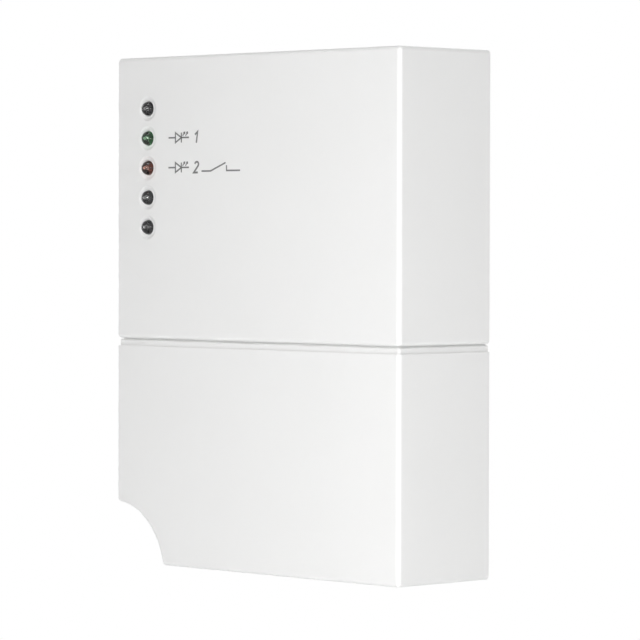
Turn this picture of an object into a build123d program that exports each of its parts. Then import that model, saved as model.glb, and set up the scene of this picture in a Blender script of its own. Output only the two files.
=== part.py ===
from build123d import *
import os

# Wall-mounted wireless thermostat receiver.
# The origin is the centre of the face that rests on the wall. +Z is up, +X is to the right
# for someone facing the receiver, and the front looks along -Y.

os.makedirs("parts", exist_ok=True)

# Shell
width = 86.4
height = 110.0
depth = 27.0                # from the wall to the front faces
wall = 2.0
edge_r = 0.9                # rounding of the covers' outer edges
rear_gap = 0.2              # the covers' rear edges stop this short of the wall

# Seam between the covers
upper_height = 61.0         # the top cover
lip_height = 1.35
lip_inset = 0.4
lip_corner_r = 0.6
lip_r = 0.35
seam_gap = 0.25
tongue_height = 2.25
rebate_wall = 1.0           # the top cover's thinned lower edge, in front of the tongue
rebate_side_gap = 0.1
rebate_end_gap = 0.4

# Round notch at the lower left corner
notch_r = 16.15
notch_centre_left = 1.15    # its centre lies this far outside the left side
notch_centre_down = 2.86    # and this far below the bottom

# Base
base_gap = 0.3              # to the insides of the covers
plate_t = 2.0
rim_t = 2.0
rim_below_board = 0.6       # the rim ends this far behind the board's front
rail_height = 28.0          # length of the right rail that the terminal cover slides on
rail_reach = 1.4
rail_t = 1.2
rail_gap = 0.2
rail_from_wall = 3.8
rail_below_step = 2.4

# Wall fixing
wall_screw_spacing = 60.0
wall_screw_below_step = 12.4
wall_screw_r = 2.25
wall_pad_r = 5.0
wall_pad_t = 1.0
keyhole_head_r = 4.2
keyhole_below_top = 19.0
keyhole_rise = 6.0

# Cable ways
window_x = 12.0
window_width = 28.0
window_height = 13.0
window_above_bottom = 8.0
cable_slot_xs = (4.0, 22.0)
cable_slot_width = 9.0
cable_slot_reach = 11.0

# Cover screw, upright through the bottom wall
cover_screw_x = -16.0
cover_screw_from_wall = 10.0
cover_screw_r = 1.45
cover_screw_length = 11.0
cover_head_r = 2.75
cover_head_t = 1.9
cover_head_sunk = 0.4
cover_pad_t = 2.0
cover_pad_ring = 1.5
boss_wall = 2.1
boss_height = 9.7

# Circuit board
board_t = 1.6
head_room = 1.1             # from the tallest part on the board to the top cover
post_r = 3.2
board_gap = 0.7             # to the base's rim
board_tongue_width = 44.0
board_tongue_length = 26.5
board_screw_r = 1.2
board_screw_tip_gap = 1.2   # from a screw's tip to the plate
board_head_r = 2.6
board_head_t = 1.9
board_screw_hole_r = 1.65
board_screw_inset = 3.5
left_screw_shift = 10.0     # the upper left screw stands clear of the LEDs
stand_r = 2.5
stand_x = 19.5
stand_above_end = 8.5
partition_t = 1.5
partition_above_tongue = 1.5
partition_gap = 0.4
shaft_clearance = 0.05      # shanks in the holes that hold them

# LEDs
led_count = 5
led_pitch = 6.42
led_from_side = 10.0
led_from_top = 11.15
led_r = 1.5
led_length = 5.3
led_flange_r = 1.9
led_flange_t = 1.0
led_proud = 1.3             # the domes stand this far out of the front face
led_hole_r = 1.63
led_dish_r = 2.65            # the shallow dish round each dome: its rim, its flat floor
led_dish_floor_r = 2.05
led_dish_depth = 0.3
led_dish_edge_r = 0.25
led_holder_width = 5.0
led_holder_end = 2.6
lead_r = 0.25
lead_hole_r = 0.45
lead_half_pitch = 1.27
lead_tail = 0.8

# Terminal block
pole_count = 5
pole_pitch = 7.5
block_end_wall = 0.5
block_depth = 11.0
block_height = 14.0
block_from_end = 0.5
pocket_width = 5.8
pocket_floor = 1.0
pocket_front_wall = 0.8
pocket_back_wall = 1.1
entry_width = 4.8
entry_height = 4.2
entry_above_floor = 1.0
well_depth = 3.2
cage_width = 5.2
cage_depth = 5.6
cage_side = 0.6
cage_bottom = 1.0
cage_top = 1.2
cage_room = 4.6
cage_travel = 2.5
cage_above_floor = 0.3
clamp_from_front = 4.5      # screw axis, from the wire side of the block
clamp_screw_r = 1.3
clamp_head_r = 1.95
clamp_head_t = 2.0
clamp_head_gap = 0.4
well_gap = 0.2
contact_width = 3.6
contact_t = 0.8
contact_pin = 1.0
contact_tip_gap = 0.1

# Relay
relay_width = 19.0
relay_depth = 15.5
relay_height = 15.3
relay_wall = 0.8
relay_fit = 0.1
relay_floor_t = 2.0
relay_from_side = 17.0
relay_from_low = 8.7
yoke_t = 1.2
yoke_depth = 8.0
bobbin_height = 7.4
bobbin_flange = 9.6
bobbin_flange_t = 0.8
bobbin_hub_r = 2.5
winding_r = 4.5
core_r = 1.6
pole_head_r = 3.0
pole_head_t = 0.5
armature_gap = 0.25
armature_t = 1.0
blade_t = 0.3
blade_width = 2.4
contact_r = 1.1
contact_overhang = 0.8
fixed_contact_gap = 0.45
rest_contact_gap = 0.05
relay_strip_t = 0.4

# Power supply and protection
transformer_width = 24.0
transformer_depth = 21.0
transformer_height = 15.0
transformer_from_side = 5.6
transformer_from_top = 6.6
foot_size = 2.4
foot_height = 0.4
big_can_r = 5.0
big_can_height = 12.5
small_can_r = 4.0
small_can_height = 11.5
can_groove = 0.3
film_cap_size = (13.0, 5.0, 11.0)
varistor_r = 5.0
varistor_t = 3.6
varistor_lift = 1.6
rectifier_size = (8.5, 6.5, 3.2)
regulator_r = 2.3
regulator_flat = 1.4
regulator_height = 4.6
regulator_lift = 2.0

# Fuse
fuse_length = 20.0
fuse_cap_r = 2.6
fuse_cap_length = 5.0
fuse_cap_wall = 0.3
fuse_glass_wall = 0.5
fuse_wire_r = 0.15
fuse_height = 4.4           # axis above the board
clip_t = 0.4
clip_width = 4.0
clip_mouth = 3.4

# Pairing switch
switch_size = 6.0
switch_height = 3.5
switch_plate_t = 0.3
button_r = 1.7
button_height = 7.0
button_travel = 0.25
button_floor = 0.8

# Radio and control
radio_width = 17.0
radio_depth = 13.0
radio_board_t = 1.0
radio_lift = 2.0
shield_size = (11.0, 8.0, 1.8)
header_pins = 5
header_pitch = 2.54
header_pin_r = 0.32
antenna_r = 0.5
antenna_stand = 5.4
antenna_bend_r = 2.0
antenna_from_top = 2.2
chip_size = (12.8, 7.5, 2.35)
chip_lift = 0.2
chip_pins = 10
chip_pin_pitch = 1.27
chip_pin_width = 0.45
chip_pin_t = 0.25
chip_pin_reach = 1.4
crystal_size = (11.0, 4.6, 3.4)

# Heights and depths that follow from the sizes above
bottom = -height / 2
top = height / 2
side = width / 2
top_cover_z = top - upper_height
lip_z = top_cover_z - seam_gap
step_z = lip_z - lip_height
tongue_z = lip_z + tongue_height
tongue_inset = rebate_wall + rebate_side_gap
rebate_z = tongue_z + rebate_end_gap
partition_z = tongue_z + partition_above_tongue
inner_side = side - wall
notch_x = -side - notch_centre_left
notch_z = bottom - notch_centre_down
base_inset = wall + base_gap
base_side = side - base_inset
base_top = top - base_inset
base_bottom = bottom + base_inset
rail_z = step_z - rail_below_step
tallest_part = max(relay_height, transformer_height)
board_front = depth - wall - head_room - tallest_part
board_back = board_front - board_t
rim_height = board_front - rim_below_board
board_side = base_side - rim_t - board_gap
board_top = base_top - rim_t - board_gap
board_low = partition_z + partition_t + partition_gap
board_end = board_low - board_tongue_length


def front(distance):
    # The plane this far in front of the wall. Sketch x is the part's X, sketch y is its Z.
    return Plane.XZ.offset(distance)


def slab(x, z, across, up, near, far, mode=Mode.ADD):
    # A block centred on x and z, reaching from near to far in front of the wall.
    with Locations((x, -(near + far) / 2, z)):
        Box(across, far - near, up, mode=mode)


def rod(x, z, radius, near, far, mode=Mode.ADD):
    # A round bar or hole that points at the wall, from near to far in front of it.
    with Locations((x, -(near + far) / 2, z)):
        Cylinder(radius, far - near, rotation=(90, 0, 0), mode=mode)


def upright(x, distance, radius, low, high, mode=Mode.ADD):
    # A vertical round bar or hole.
    with Locations((x, -distance, (low + high) / 2)):
        Cylinder(radius, high - low, mode=mode)


def outline(inset, low, high, distance):
    # The shell's outline drawn in by inset, between two heights, with the notch cut out.
    with BuildSketch(front(distance)) as face:
        with Locations((0, (low + high) / 2)):
            Rectangle(2 * (side - inset), high - low)
        with Locations((notch_x, notch_z)):
            Circle(notch_r + inset, mode=Mode.SUBTRACT)
    return face.sketch


def keep(piece, name):
    piece.part.label = name
    export_step(piece.part, f"parts/{name}.step")


# Places of the LEDs, the board's screws and the terminal poles
led_x = -side + led_from_side
led_zs = [top - led_from_top - i * led_pitch for i in range(led_count)]
led_places = [(led_x, z) for z in led_zs]
screw_high = board_top - board_screw_inset
screw_low = board_low + board_screw_inset
screw_side = board_side - board_screw_inset
board_screw_places = [
    (-screw_side + left_screw_shift, screw_high),
    (screw_side, screw_high),
    (-screw_side, screw_low),
    (screw_side, screw_low),
]
wall_screw_z = step_z - wall_screw_below_step
wall_screw_places = [(x, wall_screw_z) for x in (-wall_screw_spacing / 2, wall_screw_spacing / 2)]
keyhole_z = top - keyhole_below_top
pole_xs = [(i - (pole_count - 1) / 2) * pole_pitch for i in range(pole_count)]

# Base: plate, rim, posts, screw boss, rail grooves and openings
window_z = base_bottom + window_above_bottom
boss_low = bottom + wall + cover_pad_t + base_gap
boss_side = cover_screw_r + shaft_clearance + boss_wall
cover_pad_r = cover_head_r + cover_pad_ring + base_gap
groove_floor = inner_side - rail_reach - rail_gap
with BuildPart() as base:
    extrude(outline(base_inset, base_bottom, base_top, 0), amount=plate_t)
    extrude(outline(base_inset, base_bottom, base_top, plate_t), amount=rim_height - plate_t)
    extrude(
        outline(base_inset + rim_t, base_bottom + rim_t, base_top - rim_t, plate_t),
        amount=rim_height - plate_t,
        mode=Mode.SUBTRACT,
    )
    for x in (-base_side, base_side):
        slab(x, (base_bottom + rail_z) / 2, 2 * (base_side - groove_floor),
             rail_z - base_bottom + 2 * rail_gap,
             rail_from_wall - rail_gap, rail_from_wall + rail_t + rail_gap, Mode.SUBTRACT)
    slab(cover_screw_x, base_bottom + rim_t / 2, 2 * (cover_pad_r + base_gap), rim_t,
         plate_t, rim_height, Mode.SUBTRACT)
    slab(cover_screw_x, boss_low + boss_height / 2, 2 * boss_side, boss_height,
         plate_t, cover_screw_from_wall + boss_side)
    upright(cover_screw_x, cover_screw_from_wall, cover_screw_r + shaft_clearance,
            boss_low, boss_low + boss_height, Mode.SUBTRACT)
    for x in cable_slot_xs:
        slab(x, base_bottom + rim_t / 2, cable_slot_width + 2 * base_gap, rim_t,
             plate_t, rim_height, Mode.SUBTRACT)
    for x, z in board_screw_places:
        rod(x, z, post_r, plate_t, board_back)
        rod(x, z, board_screw_r + shaft_clearance, plate_t / 2, board_back, Mode.SUBTRACT)
    for x in (-stand_x, stand_x):
        rod(x, board_end + stand_above_end, stand_r, plate_t, board_back)
    for x, z in wall_screw_places:
        rod(x, z, wall_pad_r, plate_t, plate_t + wall_pad_t)
        rod(x, z, wall_screw_r, 0, plate_t + wall_pad_t, Mode.SUBTRACT)
    rod(0, keyhole_z, keyhole_head_r, 0, plate_t, Mode.SUBTRACT)
    slab(0, keyhole_z + keyhole_rise / 2, 2 * wall_screw_r, keyhole_rise, 0, plate_t, Mode.SUBTRACT)
    rod(0, keyhole_z + keyhole_rise, wall_screw_r, 0, plate_t, Mode.SUBTRACT)
    slab(window_x, window_z + window_height / 2, window_width, window_height,
         0, plate_t, Mode.SUBTRACT)
keep(base, "base")

# Top cover: a shell open to the wall and downwards, thinned inside along its lower edge
with BuildPart() as top_cover:
    with BuildSketch(front(rear_gap)):
        with Locations((0, (top_cover_z + top) / 2)):
            Rectangle(width, top - top_cover_z)
    extrude(amount=depth - rear_gap)
    fillet(top_cover.edges().filter_by(Axis.Y), edge_r)
    fillet(top_cover.faces().sort_by(Axis.Y)[0].edges(), edge_r)
    with BuildSketch(front(rear_gap)):
        with Locations((0, (top_cover_z + top - wall) / 2)):
            Rectangle(2 * inner_side, top - wall - top_cover_z)
    extrude(amount=depth - wall - rear_gap, mode=Mode.SUBTRACT)
    with BuildSketch(front(rear_gap)):
        with Locations((0, (top_cover_z + rebate_z) / 2)):
            Rectangle(width - 2 * rebate_wall, rebate_z - top_cover_z)
    extrude(amount=depth - rebate_wall - rear_gap, mode=Mode.SUBTRACT)
    slab(0, partition_z + partition_t / 2, 2 * inner_side, partition_t,
         board_front + partition_gap, depth - wall)
    with Locations(front(depth)):
        with Locations(*led_places):
            Hole(led_hole_r, depth=wall)
    with Locations(front(depth - led_dish_depth / 2)):
        with Locations(*led_places):
            Cone(led_dish_floor_r, led_dish_r, led_dish_depth, mode=Mode.SUBTRACT)
    dishes = top_cover.faces().sort_by(Axis.Y)[0].edges().filter_by(GeomType.CIRCLE)
    fillet(dishes, led_dish_edge_r)
keep(top_cover, "top_cover")

# Terminal cover: stepped lip and tongue above, notch, side rails, screw seat and cable slots
left_rail_low = notch_z + notch_r + wall + base_gap
with BuildPart() as terminal_cover:
    extrude(outline(0, bottom, step_z, rear_gap), amount=depth - rear_gap)
    corners = terminal_cover.edges().filter_by(Axis.Y).sort_by(Axis.Z)[:-2]
    fillet(corners, edge_r)
    front_edges = terminal_cover.faces().sort_by(Axis.Y)[0].edges().sort_by(Axis.Z)
    fillet(front_edges[:-1], edge_r)
    with BuildSketch(Plane.XY.offset(step_z - wall)):
        with Locations((0, -(depth - lip_inset + rear_gap) / 2)):
            Rectangle(width - 2 * lip_inset, depth - lip_inset - rear_gap)
    extrude(amount=wall + lip_height)
    lip_corners = terminal_cover.edges().filter_by(Axis.Z).group_by(Axis.Z)[-1].sort_by(Axis.Y)[:2]
    fillet(lip_corners, lip_corner_r)
    lip_edges = terminal_cover.faces().sort_by(Axis.Z)[-1].edges().sort_by(Axis.Y)[:-1]
    fillet(lip_edges, lip_r)
    with BuildSketch(Plane.XY.offset(lip_z)):
        with Locations((0, -(depth - tongue_inset + rear_gap) / 2)):
            Rectangle(width - 2 * tongue_inset, depth - tongue_inset - rear_gap)
    extrude(amount=tongue_height)
    extrude(
        outline(wall, bottom + wall, tongue_z, rear_gap),
        amount=depth - wall - rear_gap,
        mode=Mode.SUBTRACT,
    )
    for direction, low in ((-1, left_rail_low), (1, rail_z - rail_height)):
        slab(direction * (inner_side - rail_reach / 2 + rail_gap / 2), (low + rail_z) / 2,
             rail_reach + rail_gap, rail_z - low, rail_from_wall, rail_from_wall + rail_t)
    upright(cover_screw_x, cover_screw_from_wall, cover_pad_r,
            bottom + wall / 2, bottom + wall + cover_pad_t)
    seat_z = bottom + cover_head_sunk + cover_head_t
    upright(cover_screw_x, cover_screw_from_wall, cover_head_r + base_gap,
            bottom, seat_z, Mode.SUBTRACT)
    upright(cover_screw_x, cover_screw_from_wall, cover_screw_r + base_gap,
            seat_z, bottom + wall + cover_pad_t, Mode.SUBTRACT)
    for x in cable_slot_xs:
        round_at = cable_slot_reach - cable_slot_width / 2
        slab(x, bottom + wall / 2, cable_slot_width, wall, 0, round_at, Mode.SUBTRACT)
        upright(x, round_at, cable_slot_width / 2, bottom, bottom + wall, Mode.SUBTRACT)
keep(terminal_cover, "terminal_cover")

# Cover screw, with a cross recess in its head
with BuildPart() as cover_screw:
    upright(cover_screw_x, cover_screw_from_wall, cover_head_r, seat_z - cover_head_t, seat_z)
    fillet(cover_screw.edges().group_by(Axis.Z)[0], cover_head_t / 3)
    upright(cover_screw_x, cover_screw_from_wall, cover_screw_r, seat_z, seat_z + cover_screw_length)
    chamfer(cover_screw.edges().group_by(Axis.Z)[-1], cover_screw_r / 3)
    for across, along in ((cover_head_r * 1.3, cover_head_r / 4), (cover_head_r / 4, cover_head_r * 1.3)):
        with Locations((cover_screw_x, -cover_screw_from_wall, seat_z - cover_head_t)):
            Box(across, along, cover_head_t, mode=Mode.SUBTRACT)
keep(cover_screw, "cover_screw")

# Circuit board: the main field and a narrower tongue down to the terminals
block_low = board_end + block_from_end
block_high = block_low + block_depth
contact_pin_z = block_high - pocket_back_wall - contact_t / 2
tail = board_back - lead_tail
with BuildPart() as circuit_board:
    slab(0, (board_low + board_top) / 2, 2 * board_side, board_top - board_low,
         board_back, board_front)
    slab(0, (board_end + board_low) / 2, board_tongue_width, board_low - board_end,
         board_back, board_front)
    for x, z in board_screw_places:
        rod(x, z, board_screw_hole_r, board_back, board_front, Mode.SUBTRACT)
    for x, z in led_places:
        for offset_x in (-lead_half_pitch, lead_half_pitch):
            rod(x + offset_x, z, lead_hole_r, board_back, board_front, Mode.SUBTRACT)
    for x in pole_xs:
        rod(x, contact_pin_z, contact_pin, board_back, board_front, Mode.SUBTRACT)
keep(circuit_board, "circuit_board")

# Board screws: four alike
with BuildPart() as board_screws:
    for x, z in board_screw_places:
        rod(x, z, board_head_r, board_front, board_front + board_head_t)
        rod(x, z, board_screw_r, plate_t + board_screw_tip_gap, board_front)
        for across, up in ((board_head_r * 1.3, board_head_r / 4), (board_head_r / 4, board_head_r * 1.3)):
            slab(x, z, across, up, board_front + board_head_t / 2, board_front + board_head_t,
                 Mode.SUBTRACT)
keep(board_screws, "board_screws")

# LEDs, standing on one holder bar, with two leads each down through the board
led_base = depth + led_proud - led_length
led_names = ["led_1_dark", "led_2_green", "led_3_red", "led_4_dark", "led_5_dark"]
for name, (x, z) in zip(led_names, led_places):
    with BuildPart() as led:
        rod(x, z, led_flange_r, led_base, led_base + led_flange_t)
        rod(x, z, led_r, led_base, depth + led_proud - led_r)
        with Locations((x, -(depth + led_proud - led_r), z)):
            Sphere(led_r)
    keep(led, name)

with BuildPart() as led_holder:
    slab(led_x, (led_zs[0] + led_zs[-1]) / 2, led_holder_width,
         led_zs[0] - led_zs[-1] + 2 * led_holder_end, board_front, led_base)
    fillet(led_holder.edges().filter_by(Axis.Y), led_holder_width / 8)
    for x, z in led_places:
        for offset_x in (-lead_half_pitch, lead_half_pitch):
            rod(x + offset_x, z, lead_hole_r, board_front, led_base, Mode.SUBTRACT)
keep(led_holder, "led_holder")

with BuildPart() as led_leads:
    for x, z in led_places:
        for offset_x in (-lead_half_pitch, lead_half_pitch):
            rod(x + offset_x, z, lead_r, tail, led_base)
keep(led_leads, "led_leads")

# Terminal block: one housing with a pocket, a screw well and a wire entry for each pole
block_front = board_front + block_height
pocket_near = board_front + pocket_floor
pocket_far = block_front - well_depth
pocket_low = block_low + pocket_front_wall
pocket_high = block_high - pocket_back_wall + well_gap
clamp_z = block_low + clamp_from_front
entry_near = pocket_near + entry_above_floor
with BuildPart() as terminal_block:
    slab(0, (block_low + block_high) / 2, pole_count * pole_pitch + 2 * block_end_wall,
         block_depth, board_front, block_front)
    chamfer(terminal_block.faces().sort_by(Axis.Y)[0].edges().sort_by(Axis.Z)[0], pocket_front_wall)
    for x in pole_xs:
        slab(x, (pocket_low + pocket_high) / 2, pocket_width, pocket_high - pocket_low,
             pocket_near, pocket_far, Mode.SUBTRACT)
        slab(x, (block_low + pocket_low) / 2, entry_width, pocket_low - block_low,
             entry_near, entry_near + entry_height, Mode.SUBTRACT)
        rod(x, clamp_z, clamp_head_r + well_gap, pocket_far, block_front, Mode.SUBTRACT)
        slab(x, contact_pin_z, contact_width + 2 * well_gap, contact_t + 2 * well_gap,
             board_front, pocket_near, Mode.SUBTRACT)
keep(terminal_block, "terminal_block")

# Terminal contacts: a strip through each cage, a leg behind it and a pin through the board
cage_floor = pocket_near + cage_above_floor
cage_roof = cage_floor + cage_bottom + cage_room
strip_far = cage_roof - cage_room / 16
strip_near = strip_far - contact_t
head_near = cage_roof + cage_top + cage_travel + clamp_head_gap
strip_low = clamp_z - cage_depth / 2 - well_gap
contact_high = contact_pin_z + contact_t / 2
with BuildPart() as terminal_contacts:
    for x in pole_xs:
        slab(x, (strip_low + contact_high) / 2, contact_width, contact_high - strip_low,
             strip_near, strip_far)
        slab(x, contact_pin_z, contact_width, contact_t, board_front, strip_far)
        slab(x, contact_pin_z, contact_pin, contact_t, tail, board_front)
keep(terminal_contacts, "terminal_contacts")

# Each pole's screw turns on the spot and lifts its cage along itself
for number, x in enumerate(pole_xs, start=1):
    with BuildPart() as clamp_screw:
        rod(x, clamp_z, clamp_head_r, head_near, head_near + clamp_head_t)
        rod(x, clamp_z, clamp_screw_r, strip_far + contact_tip_gap, head_near)
        slab(x, clamp_z, 2 * clamp_head_r, clamp_head_r / 3, head_near + clamp_head_t / 2,
             head_near + clamp_head_t, Mode.SUBTRACT)
    keep(clamp_screw, f"terminal_screw_{number}")
    with BuildPart() as clamp_cage:
        slab(x, clamp_z, cage_width, cage_depth, cage_floor, cage_roof + cage_top)
        fillet(clamp_cage.edges().filter_by(Axis.Z), cage_side / 2)
        slab(x, clamp_z, cage_width - 2 * cage_side, cage_depth,
             cage_floor + cage_bottom, cage_roof, Mode.SUBTRACT)
        rod(x, clamp_z, clamp_screw_r + shaft_clearance, cage_roof, cage_roof + cage_top,
            Mode.SUBTRACT)
    keep(clamp_cage, f"terminal_cage_{number}")

# Relay: floor and case, an L-shaped yoke with a coil on a core, and a hinged armature
relay_x = board_side - relay_from_side
relay_z = board_low + relay_from_low
relay_floor = board_front + relay_floor_t
relay_inner_x = relay_width / 2 - relay_wall
relay_inner_z = relay_depth / 2 - relay_wall
relay_far = board_front + relay_height
yoke_left = relay_x - relay_inner_x + relay_fit + relay_strip_t
yoke_right = yoke_left + yoke_t
coil_x = yoke_right + bobbin_flange / 2 + relay_fit
coil_near = relay_floor + yoke_t
coil_far = coil_near + bobbin_height
pole_far = coil_far + pole_head_t
armature_near = pole_far + armature_gap
armature_far = armature_near + armature_t
blade_far = armature_far + blade_t
leg_right = relay_x + relay_inner_x - relay_fit
leg_x = leg_right - relay_strip_t / 2
contact_x = leg_right - relay_strip_t - contact_r - 2 * relay_fit - blade_t
moving_near = armature_far - contact_overhang
moving_far = blade_far + contact_overhang / 2
with BuildPart() as relay_base:
    slab(relay_x, relay_z, 2 * (relay_inner_x - relay_fit), 2 * (relay_inner_z - relay_fit),
         board_front, relay_floor)
keep(relay_base, "relay_base")

with BuildPart() as relay_case:
    slab(relay_x, relay_z, relay_width, relay_depth, board_front + relay_fit, relay_far)
    fillet(relay_case.edges().filter_by(Axis.Y), relay_wall * 0.9)
    fillet(relay_case.faces().sort_by(Axis.Y)[0].edges(), relay_wall / 2)
    slab(relay_x, relay_z, 2 * relay_inner_x, 2 * relay_inner_z,
         board_front + relay_fit, relay_far - relay_wall, Mode.SUBTRACT)
keep(relay_case, "relay_case")

with BuildPart() as relay_yoke:
    slab((yoke_left + coil_x + core_r) / 2, relay_z, coil_x + core_r - yoke_left, yoke_depth,
         relay_floor, coil_near)
    slab((yoke_left + yoke_right) / 2, relay_z, yoke_t, yoke_depth, relay_floor, armature_near)
keep(relay_yoke, "relay_yoke")

with BuildPart() as relay_bobbin:
    for near in (coil_near, coil_far - bobbin_flange_t):
        slab(coil_x, relay_z, bobbin_flange, bobbin_flange, near, near + bobbin_flange_t)
    rod(coil_x, relay_z, bobbin_hub_r, coil_near, coil_far)
    rod(coil_x, relay_z, core_r + shaft_clearance, coil_near, coil_far, Mode.SUBTRACT)
keep(relay_bobbin, "relay_bobbin")

with BuildPart() as relay_winding:
    rod(coil_x, relay_z, winding_r, coil_near + bobbin_flange_t, coil_far - bobbin_flange_t)
    rod(coil_x, relay_z, bobbin_hub_r + shaft_clearance, coil_near + bobbin_flange_t,
        coil_far - bobbin_flange_t, Mode.SUBTRACT)
keep(relay_winding, "relay_winding")

with BuildPart() as relay_core:
    rod(coil_x, relay_z, core_r, coil_near, coil_far)
    rod(coil_x, relay_z, pole_head_r, coil_far, pole_far)
keep(relay_core, "relay_core")

# The armature rocks on its round end, which bears on the yoke's inner edge
armature_right = coil_x + pole_head_r
with BuildPart() as relay_armature:
    slab((yoke_right + armature_right) / 2, relay_z, armature_right - yoke_right, yoke_depth,
         armature_near, armature_far)
    fillet(relay_armature.edges().filter_by(Axis.Y).sort_by(Axis.X)[-2:], armature_t / 2)
    upright(yoke_right, (armature_near + armature_far) / 2, armature_t / 2,
            relay_z - yoke_depth / 2, relay_z + yoke_depth / 2)
keep(relay_armature, "relay_armature")

with BuildPart() as relay_blade:
    slab((coil_x + contact_x + contact_r) / 2, relay_z, contact_x + contact_r - coil_x,
         blade_width, armature_far, blade_far)
    rod(contact_x, relay_z, contact_r, moving_near, moving_far)
keep(relay_blade, "relay_blade")

# The lower fixed contact closes the circuit, and the upper one is where the blade rests
work_far = moving_near - fixed_contact_gap
rest_near = moving_far + rest_contact_gap
rest_plate = rest_near + contact_overhang / 2
leg_shift = yoke_depth / 2 - blade_width / 2
with BuildPart() as relay_contacts:
    rod(contact_x, relay_z, contact_r, work_far - contact_overhang, work_far)
    slab((contact_x + leg_right) / 2, relay_z, leg_right - contact_x, blade_width,
         work_far - contact_overhang - relay_strip_t, work_far - contact_overhang)
    slab(leg_x, relay_z, relay_strip_t, blade_width, relay_floor, work_far - contact_overhang)
    rod(contact_x, relay_z, contact_r, rest_near, rest_plate)
    slab((contact_x + leg_right) / 2, relay_z + leg_shift / 2 + relay_fit, leg_right - contact_x,
         blade_width + leg_shift + 2 * relay_fit, rest_plate, rest_plate + relay_strip_t)
    slab(leg_x, relay_z + leg_shift + 3 * relay_fit, relay_strip_t, leg_shift - 2 * relay_fit,
         relay_floor, rest_plate + relay_strip_t)
keep(relay_contacts, "relay_contacts")

# Transformer: potted block on four feet
transformer_x = board_side - transformer_from_side - transformer_width / 2
transformer_z = board_top - transformer_from_top - transformer_depth / 2
with BuildPart() as transformer:
    slab(transformer_x, transformer_z, transformer_width, transformer_depth,
         board_front + foot_height, board_front + transformer_height)
    fillet(transformer.edges().filter_by(Axis.Y), foot_size / 2)
    fillet(transformer.faces().sort_by(Axis.Y)[0].edges(), foot_height)
    for x in (-1, 1):
        for z in (-1, 1):
            slab(transformer_x + x * (transformer_width / 2 - foot_size),
                 transformer_z + z * (transformer_depth / 2 - foot_size),
                 foot_size, foot_size, board_front, board_front + foot_height)
keep(transformer, "transformer")

# Capacitor cans with a crimped groove near the foot, in one column beside the radio module
radio_x = led_x + (led_holder_width + radio_width) / 2 + rail_reach
can_x = radio_x + radio_width / 2 + big_can_r + partition_gap * 2
big_can_z = transformer_z + transformer_depth / 2 - big_can_r
small_can_z = big_can_z - big_can_r - small_can_r - can_groove * 3
cans = (
    ("reservoir_capacitor", big_can_z, big_can_r, big_can_height),
    ("smoothing_capacitor", small_can_z, small_can_r, small_can_height),
)
for name, z, radius, tall in cans:
    groove = board_front + tall / 5
    with BuildPart() as can:
        rod(can_x, z, radius, board_front, board_front + tall)
        fillet(can.edges().group_by(Axis.Y)[0], can_groove * 2)
        with Locations((can_x, -groove, z)):
            Torus(radius + can_groove / 2, can_groove, rotation=(90, 0, 0), mode=Mode.SUBTRACT)
    keep(can, name)

# Suppression capacitor, rectifier and regulator
film_x = relay_x - relay_width / 2 - rail_reach - film_cap_size[0] / 2
film_z = screw_low + film_cap_size[1] / 4
with BuildPart() as suppression_capacitor:
    slab(film_x, film_z, film_cap_size[0], film_cap_size[1],
         board_front, board_front + film_cap_size[2])
    fillet(suppression_capacitor.edges().filter_by(Axis.Y), foot_height)
keep(suppression_capacitor, "suppression_capacitor")

rectifier_x = can_x
rectifier_z = small_can_z - small_can_r - rectifier_size[1] / 2 - partition_gap * 2
with BuildPart() as rectifier:
    slab(rectifier_x, rectifier_z, rectifier_size[0], rectifier_size[1],
         board_front, board_front + rectifier_size[2])
    chamfer(rectifier.faces().sort_by(Axis.Y)[0].edges(), foot_height)
keep(rectifier, "rectifier")

regulator_x = can_x - big_can_r - regulator_r - partition_gap
regulator_z = screw_high
regulator_near = board_front + regulator_lift
with BuildPart() as regulator:
    rod(regulator_x, regulator_z, regulator_r, regulator_near, regulator_near + regulator_height)
    slab(regulator_x, regulator_z - regulator_flat - regulator_r / 2, 2 * regulator_r, regulator_r,
         regulator_near, regulator_near + regulator_height, Mode.SUBTRACT)
keep(regulator, "regulator")

# Varistor: a disc on edge, held by its leads
varistor_x = film_x + film_cap_size[0] / 2 - varistor_r
varistor_z = film_z + film_cap_size[1] / 2 + partition_t + varistor_t / 2
varistor_axis = board_front + varistor_lift + varistor_r
with BuildPart() as varistor:
    with Locations((varistor_x, -varistor_axis, varistor_z)):
        Cylinder(varistor_r, varistor_t)
    fillet(varistor.edges().filter_by(GeomType.CIRCLE), varistor_t / 3)
keep(varistor, "varistor")

with BuildPart() as component_leads:
    for offset_x in (-lead_half_pitch, 0, lead_half_pitch):
        rod(regulator_x + offset_x, regulator_z, lead_r, board_front, regulator_near)
    for offset_x in (-lead_half_pitch, lead_half_pitch):
        rod(varistor_x + offset_x, varistor_z, lead_r, board_front, board_front + varistor_lift)
keep(component_leads, "component_leads")

# Fuse: a glass tube between two end caps, held by two spring clips
fuse_x = board_tongue_width / 2 - fuse_length / 2 - post_r
fuse_z = (block_high + partition_z) / 2
fuse_axis = board_front + fuse_height
cap_centres = [fuse_x + s * (fuse_length - fuse_cap_length) / 2 for s in (-1, 1)]
glass_r = fuse_cap_r - fuse_cap_wall - shaft_clearance
glass_length = fuse_length - 2 * (fuse_cap_wall + shaft_clearance)


def along_x(x, distance, z, radius, length, mode=Mode.ADD):
    # A round bar or hole that lies across the receiver, centred on x.
    with Locations((x, -distance, z)):
        Cylinder(radius, length, rotation=(0, 90, 0), mode=mode)


with BuildPart() as fuse_tube:
    along_x(fuse_x, fuse_axis, fuse_z, glass_r, glass_length)
    along_x(fuse_x, fuse_axis, fuse_z, glass_r - fuse_glass_wall, glass_length, Mode.SUBTRACT)
keep(fuse_tube, "fuse_tube")

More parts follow.
